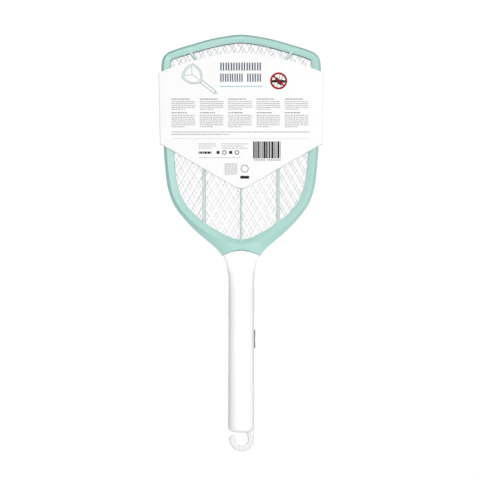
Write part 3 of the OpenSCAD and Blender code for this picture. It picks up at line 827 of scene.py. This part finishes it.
# CAD pieces that keep their shape: better materials and softened edges
KEEP = {
    # the spacer rings get the dark colour as painted shade along the opening's inner wall
    "rear_spacer_ring": mat_spacer_painted_shade, "front_spacer_ring": mat_spacer_painted_shade, "positive_contact": mat_steel, "circuit_board": mat_board,
    "transformer_core": mat_ferrite, "transformer_winding": mat_tape, "high_voltage_capacitor": mat_cap, "rectifier_diodes": mat_epoxy,
    "resistors": mat_resistor, "drive_transistor": mat_epoxy, "tact_switch": mat_epoxy, "power_slide_switch": mat_steel,
    "grid_leads": mat_red, "battery_leads": mat_black, "handle_screws": mat_screw}
for node, mt in KEEP.items():
    o = NODES[node]
    o.data.materials.clear()
    o.data.materials.append(mt)
    if node in ("transformer_winding", "high_voltage_capacitor", "power_slide_switch", "tact_switch"):
        bevelled(o, 0.5 if node != "tact_switch" else 0.25, 3)

# ----------------------------------------------------------------------
# card sleeve
# ----------------------------------------------------------------------
CARD_HW, CARD_LW, CZ0, CZ1 = 92.7, 91.0, 225.7, 305.8
CARD_T = 0.5
card_top = lambda x: 327.7 - 21.9 * (min(1, abs(x) / CARD_HW)) ** 1.75


def card_low(x):
    x = min(abs(x), CARD_LW)
    if x > 9:
        return 179 + (x - 9) * (CZ0 - 179) / (CARD_LW - 9)
    return 179 - 0.5695 * 4.5 * (1 - (x / 9) ** 2)


def card_half(z):
    return CARD_LW + (CARD_HW - CARD_LW) * max(0, min(1, (z - CZ0) / (CZ1 - CZ0)))


def bow(x, z):
    """how far the flat card stands proud of its folds"""
    return 0.22 * math.cos(math.pi * max(-1, min(1, x / 94)) / 2) + 0.05 * math.sin(x * 0.045 + z * 0.03)


def card():
    fr, hy = 1.3, 8.0
    cols = []                                   # (fraction of half width, offset in x, y, panel x for outline)
    NP = 56
    for side in (-1, 1):
        seq = []
        for k in range(NP + 1):
            f = -1 + 2 * k / NP
            seq.append(("p", f))
        fold = [("f", a) for a in range(1, 7)]
        mid = [("s", b) for b in range(1, 8)]
        if side < 0:
            cols += [(-1, q) for q in seq] + [(-1, q) for q in fold]
            cols += [(0, q) for q in mid]
            cols += [(1, ("g", a)) for a in range(1, 7)]
        else:
            cols += [(1, q) for q in [("p", -f) for _, f in seq]]
            cols += [(2, ("f2", a)) for a in range(1, 7)] + [(3, q) for q in mid] + [(4, ("g2", a)) for a in range(1, 7)]
    NR = 36
    rows = []
    for i in range(NR + 1):
        v = i / NR
        row = []
        for kind, (t, q) in cols:
            if t == "p":
                xr = q * (CARD_HW - fr)
                zb, zt = card_low(abs(q) * CARD_LW), card_top(q * CARD_HW)
                z = zb + (zt - zb) * v
                hw = card_half(z) - fr
                x = q * hw
                y = (-1 if kind < 0 else 1) * (hy - 0.0 + bow(x, z) * (1 - abs(q) ** 6))
                row.append((x, y, z))
                continue
            z = CZ0 + (CZ1 - CZ0) * v
            hw = card_half(z)
            if t in ("f", "g", "f2", "g2"):
                a = math.pi / 2 * q / 7
                if t == "f":
                    row.append((hw - fr + fr * math.sin(a), -(hy - fr + fr * math.cos(a)), z))
                elif t == "g":
                    row.append((hw - fr + fr * math.cos(a), (hy - fr + fr * math.sin(a)), z))
                elif t == "f2":
                    row.append((-(hw - fr + fr * math.sin(a)), (hy - fr + fr * math.cos(a)), z))
                else:
                    row.append((-(hw - fr + fr * math.cos(a)), -(hy - fr + fr * math.sin(a)), z))
            else:
                y = -(hy - fr) + 2 * (hy - fr) * (q - 1) / 6
                sx = 1 if kind == 0 else -1
                row.append((sx * hw, y * sx, z))
        rows.append(row)
    n = len(cols)
    vs = [p for r in rows for p in r]
    fs = []
    for i in range(NR):
        for j in range(n):
            a, b = i * n + j, i * n + (j + 1) % n
            fs.append([a, b, b + n, a + n])
    ob = make("retail_card_sleeve", vs, fs, mat=mat_card, angle=60, clean=False)
    me = ob.data
    bm = bmesh.new()
    bm.from_mesh(me)
    bmesh.ops.remove_doubles(bm, verts=bm.verts, dist=1e-6)
    bmesh.ops.recalc_face_normals(bm, faces=bm.faces)
    # an open tube: make sure that its normals point away from the axis
    out = sum(f.normal.dot(Vector((f.calc_center_median().x, f.calc_center_median().y, 0))) * f.calc_area() for f in bm.faces)
    if out < 0:
        bmesh.ops.reverse_faces(bm, faces=bm.faces)
    bm.to_mesh(me)
    bm.free()
    s = ob.modifiers.new("thickness", "SOLIDIFY")
    s.thickness = CARD_T * MM
    s.offset = -1
    s.use_even_offset = True
    bpy.context.view_layer.update()
    bake_modifiers(ob, 40)
    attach(ob, "card")
    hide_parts("card_sleeve")
    return ob


card()

# ----------------------------------------------------------------------
# printing on the card: plain generic shapes, no lettering
# ----------------------------------------------------------------------
PX = lambda px: (px - 240.5) * 1.12
PZ = lambda py: (345 - py) * 1.12
INK = 0.02


class Ink:
    def __init__(self, side):
        self.side, self.parts = side, {}

    def add(self, mat, vs, fs):
        self.parts.setdefault(mat.name, (mat, []))[1].append((vs, fs))

    def sheet_y(self, x, z, up=0.0):
        return self.side * (8.0 + bow(x, z) * (1 - (abs(x) / 92) ** 6) + 0.012 + up)

    def poly(self, mat, pts, up=0.0):
        """flat closed shape, as a thin plate that follows the card"""
        n = len(pts)
        lo = [(x, self.sheet_y(x, z, up), z) for x, z in pts]
        hi = [(x, self.sheet_y(x, z, up) + self.side * INK, z) for x, z in pts]
        fs = [list(range(n)), list(range(2 * n - 1, n - 1, -1))] + [[i, i + n, (i + 1) % n + n, (i + 1) % n] for i in range(n)]
        self.add(mat, lo + hi, fs)

    def rect(self, mat, x0, x1, z0, z1, r=0.0, up=0.0):
        if x1 - x0 > 9:                          # long bars follow the bowed card
            k = int((x1 - x0) // 6) + 1
            for i in range(k):
                self.rect(mat, x0 + (x1 - x0) * i / k, x0 + (x1 - x0) * (i + 1) / k, z0, z1, 0, up)
            return
        pts = [(x0, z0, r), (x1, z0, r), (x1, z1, r), (x0, z1, r)]
        self.poly(mat, round_poly(pts, 4) if r else [(a, b) for a, b, _ in pts], up)

    def line(self, mat, pts, w, closed=False, up=0.0):
        m = len(pts)
        for i in range(m if closed else m - 1):
            a, b = Vector(pts[i]), Vector(pts[(i + 1) % m])
            d = (b - a)
            if d.length < 1e-6:
                continue
            d.normalize()
            n = Vector((-d.y, d.x)) * w / 2
            e = d * w * 0.25
            self.poly(mat, [tuple(a - n - e), tuple(b - n + e), tuple(b + n + e), tuple(a + n - e)], up)

    def ring(self, mat, cx, cz, r0, r1, n=48, up=0.0, a0=0, a1=360):
        for k in range(n):
            a, b = math.radians(a0 + (a1 - a0) * k / n), math.radians(a0 + (a1 - a0) * (k + 1) / n)
            self.poly(mat, [(cx + r0 * math.cos(a), cz + r0 * math.sin(a)), (cx + r1 * math.cos(a), cz + r1 * math.sin(a)),
                            (cx + r1 * math.cos(b), cz + r1 * math.sin(b)), (cx + r0 * math.cos(b), cz + r0 * math.sin(b))], up)

    def blob(self, mat, cx, cz, rx, rz, turn=0.0, n=20, up=0.0):
        c, s = math.cos(math.radians(turn)), math.sin(math.radians(turn))
        pts = []
        for k in range(n):
            a = 2 * math.pi * k / n
            x, z = rx * math.cos(a), rz * math.sin(a)
            pts.append((cx + x * c - z * s, cz + x * s + z * c))
        self.poly(mat, pts, up)

    def words(self, mat, x0, x1, z, h, seed, fill=1.0):
        """one line of small print as a row of little bars"""
        rnd = random.Random(seed)
        x = x0
        end = x0 + (x1 - x0) * fill
        while x < end - 0.6:
            w = min(rnd.uniform(1.1, 3.6), end - x)
            self.rect(mat, x, x + w, z - h / 2, z + h / 2)
            x += w + 0.55

    def finish(self, name):
        for mname, (mat, parts) in self.parts.items():
            v, f = join_data(parts)
            ob = make(f"{name}_{mname}", v, f, mat=mat, clean=False)
            bm = bmesh.new()
            bm.from_mesh(ob.data)
            bmesh.ops.recalc_face_normals(bm, faces=bm.faces)
            bm.to_mesh(ob.data)
            bm.free()
            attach(ob, "card")


def insect(k, mat, cx, cz, s, up=0.0):
    k.blob(mat, cx + 0.1 * s, cz - 0.4 * s, 0.85 * s, 1.9 * s, 38, up=up)
    k.blob(mat, cx - 0.9 * s, cz + 1.0 * s, 0.7 * s, 0.7 * s, 0, up=up)
    k.blob(mat, cx - 2.0 * s, cz - 0.1 * s, 2.0 * s, 0.62 * s, 6, up=up)
    k.blob(mat, cx + 2.1 * s, cz - 0.2 * s, 2.0 * s, 0.62 * s, -5, up=up)
    k.line(mat, [(cx - 1.3 * s, cz + 1.4 * s), (cx - 2.1 * s, cz + 2.8 * s)], 0.24 * s, up=up)
    for i, (dx, dz) in enumerate(((-2.3, -2.7), (-0.8, -3.3), (1.2, -3.2), (2.4, -2.4), (0.6, 3.0), (1.9, 2.5))):
        k.line(mat, [(cx + dx * 0.28 * s, cz + 0.12 * dz * s), (cx + dx * 0.72 * s, cz + dz * 0.34 * s), (cx + dx * s, cz + dz * s)], 0.24 * s, up=up)


def bat_drawing(k, mat, cx, cz, s, turn, w):
    """small line drawing of a racket"""
    c, q = math.cos(math.radians(turn)), math.sin(math.radians(turn))
    P = lambda x, z: (cx + (x * c - z * q) * s, cz + (x * q + z * c) * s)
    head = [(0, 10), (4.6, 9.2), (8, 7.4), (8.2, 3), (7.4, -2), (4.2, -6), (1.4, -8), (-1.4, -8), (-4.2, -6), (-7.4, -2), (-8.2, 3), (-8, 7.4), (-4.6, 9.2)]
    k.line(mat, [P(*p) for p in head], w, True)
    k.line(mat, [P(x * 0.84, z * 0.84 + 0.2) for x, z in head], w * 0.7, True)
    k.line(mat, [P(-1.4, -8), P(-1.3, -24), P(1.3, -24), P(1.4, -8)], w)
    k.line(mat, [P(0, -6), P(0, 2), P(5.6, 7.2)], w * 0.7)
    k.line(mat, [P(0, 2), P(-5.6, 7.2)], w * 0.7)
    k.ring(mat, *P(0, -25.3), 0.7 * s, 1.15 * s, 16)


def back_print():
    k = Ink(-1)
    # heading: two rows of plain upright strokes in place of the lettering
    def strokes(px0, px1, n, py0, py1):
        step = (px1 - px0) / n
        for i in range(n):
            for a, b in ((0.03, 0.30), (0.50, 0.77)):
                k.rect(ink_slate, PX(px0 + step * (i + a)), PX(px0 + step * (i + b)), PZ(py1), PZ(py0), 0.4)
    strokes(219.5, 261.5, 8, 62.2, 70.2)
    strokes(219.5, 243.2, 5, 73.2, 81.4)
    strokes(246.4, 261.5, 3, 73.2, 81.4)
    k.words(ink_teal, PX(219), PX(261.5), PZ(86.0), 1.1, 3)
    bat_drawing(k, ink_line, PX(193.4), PZ(75.5), 1.25, 52, 0.8)
    cx, cz = PX(278), PZ(80.5)
    insect(k, ink_dark, cx, cz, 2.4)
    k.ring(ink_red, cx, cz, 7.4, 9.6, 56, up=0.03)
    a = Vector((math.cos(math.radians(138)), math.sin(math.radians(138)))) * 8.2
    k.line(ink_red, [(cx + a.x, cz + a.y), (cx - a.x, cz - a.y)], 1.8, up=0.055)
    # five columns of small print in two blocks
    for c in range(5):
        x0 = PX(171 + c * 28.3)
        x1 = x0 + 23.6 * 1.12
        k.words(ink_grey, x0, x0 + 20, PZ(98.7), 1.0, 10 + c)
        for r in range(5):
            k.words(ink_light, x0, x1, PZ(101.2 + 1.9 * r), 0.95, 100 + c * 20 + r, 1.0 if r < 4 else 0.6)
        k.words(ink_grey, x0, x0 + 17, PZ(112.4), 1.0, 30 + c)
        for r in range(7):
            k.words(ink_light, x0, x1, PZ(114.9 + 1.9 * r), 0.95, 300 + c * 20 + r, 1.0 if r < 6 else 0.55)
    for r, fill in ((0, 1.0), (1, 0.42)):
        k.words(ink_light, PX(171), PX(309), PZ(131.6 + 2.4 * r), 1.0, 500 + r, fill)
    k.rect(ink_light, PX(171), PX(309), PZ(138.4), PZ(138.15))
    # bars of a barcode pattern that holds no number
    rnd = random.Random(77)
    x, end = PX(252.5), PX(280)
    while x < end - 0.4:
        w = rnd.choice((0.5, 0.9, 1.7, 2.3))
        k.rect(ink_dark, x, min(end, x + w), PZ(158), PZ(141))
        x += w + rnd.choice((0.45, 0.5, 0.9))
    for g0, g1 in ((253.5, 265.2), (267, 279)):
        x = PX(g0)
        while x < PX(g1):
            k.rect(ink_grey, x, x + 1.0, PZ(160.2), PZ(158.8))
            x += 1.9
    # small print and plain marks below
    for r in range(3):
        k.words(ink_grey, PX(198), PX(216), PZ(143.5 + 2.1 * r), 0.6, 600 + r, 1 if r != 2 else 0.7)
        k.words(ink_grey, PX(221), PX(248), PZ(143.5 + 2.1 * r), 0.6, 620 + r, 1 if r != 1 else 0.8)
    k.words(ink_dark, PX(198), PX(211), PZ(152.2), 2.6, 640)
    for i, px in enumerate((217.5, 223.8, 230.1, 236.4)):
        if i % 2:
            k.ring(ink_dark, PX(px), PZ(152), 1.6, 2.5, 24)
        else:
            k.rect(ink_dark, PX(px) - 1.7, PX(px) + 1.7, PZ(152) - 1.7, PZ(152) + 1.7, 0.5)
    k.words(ink_light, PX(198), PX(240), PZ(157.2), 0.55, 650)
    for r in range(6):
        k.words(ink_light, PX(224), PX(237), PZ(163.6 + 2.0 * r), 1.1, 660 + r)
    # a plain ring over a bar
    k.ring(ink_grey, PX(244.1), PZ(168.2), 3.6, 4.4, 32)
    k.rect(ink_dark, PX(239.6), PX(248.6), PZ(178.2), PZ(175.4))
    k.finish("back_print")


def front_print():
    k = Ink(1)
    for i in range(-11, 12):                     # a broad mint band along the top
        x0, x1 = i * 8 - 4, i * 8 + 4
        x0, x1 = max(-89, x0), min(89, x1)
        k.poly(ink_mint, [(x0, card_top(x0) - 20), (x1, card_top(x1) - 20), (x1, card_top(x1) - 9), (x0, card_top(x0) - 9)])
    k.rect(ink_slate, -46, 46, 288, 297)
    k.rect(ink_slate, -46, -4, 273, 282)
    k.rect(ink_slate, 4, 46, 273, 282)
    k.words(ink_teal, -46, 46, 267, 1.8, 3)
    bat_drawing(k, ink_slate, 0, 240, 1.25, 0, 0.6)
    cx, cz = 58, 250
    insect(k, ink_dark, cx + 0.6, cz, 2.3)
    k.ring(ink_red, cx, cz, 9.6, 12, 56, up=0.03)
    a = Vector((math.cos(math.radians(138)), math.sin(math.radians(138)))) * 10.2
    k.line(ink_red, [(cx + a.x, cz + a.y), (cx - a.x, cz - a.y)], 1.9, up=0.055)
    for r in range(5):
        k.words(ink_grey, -76, -40, 258 - 5 * r, 1.3, 700 + r, 1.0 if r < 4 else 0.6)
    k.finish("front_print")


back_print()
front_print()

# ----------------------------------------------------------------------
# floor, world, lights
# ----------------------------------------------------------------------
floor_me = bpy.data.meshes.new("floor")
R = 9.0
FZ = LO.z - 0.1215                            # the battery cover slides 120 mm down
ring_pts = [(0, 0, FZ)] + [(R * math.cos(2 * math.pi * k / 64), R * math.sin(2 * math.pi * k / 64), FZ) for k in range(64)]
floor_me.from_pydata(ring_pts, [], [[0, k + 1, (k + 1) % 64 + 1] for k in range(64)])
floor = bpy.data.objects.new("floor", floor_me)
scene.collection.objects.link(floor)
mf = bpy.data.materials.new("floor_white")
mf.use_nodes = True
nt = mf.node_tree
bs = nt.nodes["Principled BSDF"]
bs.inputs["Base Color"].default_value = (0.86, 0.86, 0.86, 1)
bs.inputs["Roughness"].default_value = 0.7
bs.inputs["Specular IOR Level"].default_value = 0.1
bs.inputs["Emission Color"].default_value = (1, 1, 1, 1)
bs.inputs["Emission Strength"].default_value = 0.06
glow = nt.nodes.new("ShaderNodeEmission")
glow.inputs["Color"].default_value = (1, 1, 1, 1)
glow.inputs["Strength"].default_value = 1.03
flp = nt.nodes.new("ShaderNodeLightPath")
fmx = nt.nodes.new("ShaderNodeMixShader")
nt.links.new(flp.outputs["Is Camera Ray"], fmx.inputs[0])
nt.links.new(bs.outputs[0], fmx.inputs[1])
nt.links.new(glow.outputs[0], fmx.inputs[2])
nt.links.new(fmx.outputs[0], [n for n in nt.nodes if n.bl_idname == "ShaderNodeOutputMaterial"][0].inputs[0])
floor_me.materials.append(mf)

world = bpy.data.worlds.new("studio")
scene.world = world
world.use_nodes = True
nt = world.node_tree
nt.nodes.clear()
wo = nt.nodes.new("ShaderNodeOutputWorld")
mix = nt.nodes.new("ShaderNodeMixShader")
bgc = nt.nodes.new("ShaderNodeBackground")
bgl = nt.nodes.new("ShaderNodeBackground")
lp = nt.nodes.new("ShaderNodeLightPath")
tc = nt.nodes.new("ShaderNodeTexCoord")
rmp = nt.nodes.new("ShaderNodeValToRGB")
mr = nt.nodes.new("ShaderNodeMapRange")
dot = nt.nodes.new("ShaderNodeVectorMath")
dot.operation = "DOT_PRODUCT"
dot.inputs[1].default_value = Vector((0.20, -0.93, -0.26)).normalized()
nt.links.new(tc.outputs["Generated"], dot.inputs[0])
nt.links.new(dot.outputs["Value"], mr.inputs["Value"])
mr.inputs["From Min"].default_value, mr.inputs["From Max"].default_value = -1, 1
e = rmp.color_ramp.elements
LIGHT = ((0.0, 0.30), (0.28, 0.20), (0.50, 0.42), (0.66, 0.76), (0.82, 1.0), (1.0, 1.0))
e[0].position, e[1].position = 0.0, 1.0
for pos, v in LIGHT[1:-1]:
    e.new(pos)
for el, (pos, v) in zip(sorted(e, key=lambda q: q.position), LIGHT):
    el.color = (v, v, v, 1)
nt.links.new(mr.outputs[0], rmp.inputs["Fac"])
nt.links.new(rmp.outputs["Color"], bgl.inputs["Color"])
bgl.inputs["Strength"].default_value = 0.85
bgc.inputs["Color"].default_value = (1, 1, 1, 1)
bgc.inputs["Strength"].default_value = 1.05
nt.links.new(lp.outputs["Is Camera Ray"], mix.inputs[0])
nt.links.new(bgl.outputs[0], mix.inputs[1])
nt.links.new(bgc.outputs[0], mix.inputs[2])
nt.links.new(mix.outputs[0], wo.inputs[0])


def area(name, loc, target, size, power, col=(1, 1, 1)):
    l = bpy.data.lights.new(name, "AREA")
    l.shape, l.size, l.size_y, l.energy, l.color = "RECTANGLE", size[0], size[1], power, col
    o = bpy.data.objects.new(name, l)
    scene.collection.objects.link(o)
    o.location = loc
    o.rotation_euler = (Vector(target) - Vector(loc)).to_track_quat("-Z", "Y").to_euler()
    return o


MIDP = (0, 0, 0.12)
area("key_right", (0.95, -1.9, -0.05), (0, 0, 0.16), (0.8, 0.8), 17)
area("fill_front", (0.0, -2.0, 0.3), MIDP, (1.2, 1.2), 13)
area("back_soft", (-0.25, 2.2, 0.5), MIDP, (1.6, 1.6), 33)

scene.view_settings.view_transform = "Standard"
scene.view_settings.look = "None"
scene.view_settings.exposure = 0.0
scene.view_settings.gamma = 1.0

bpy.context.view_layer.update()
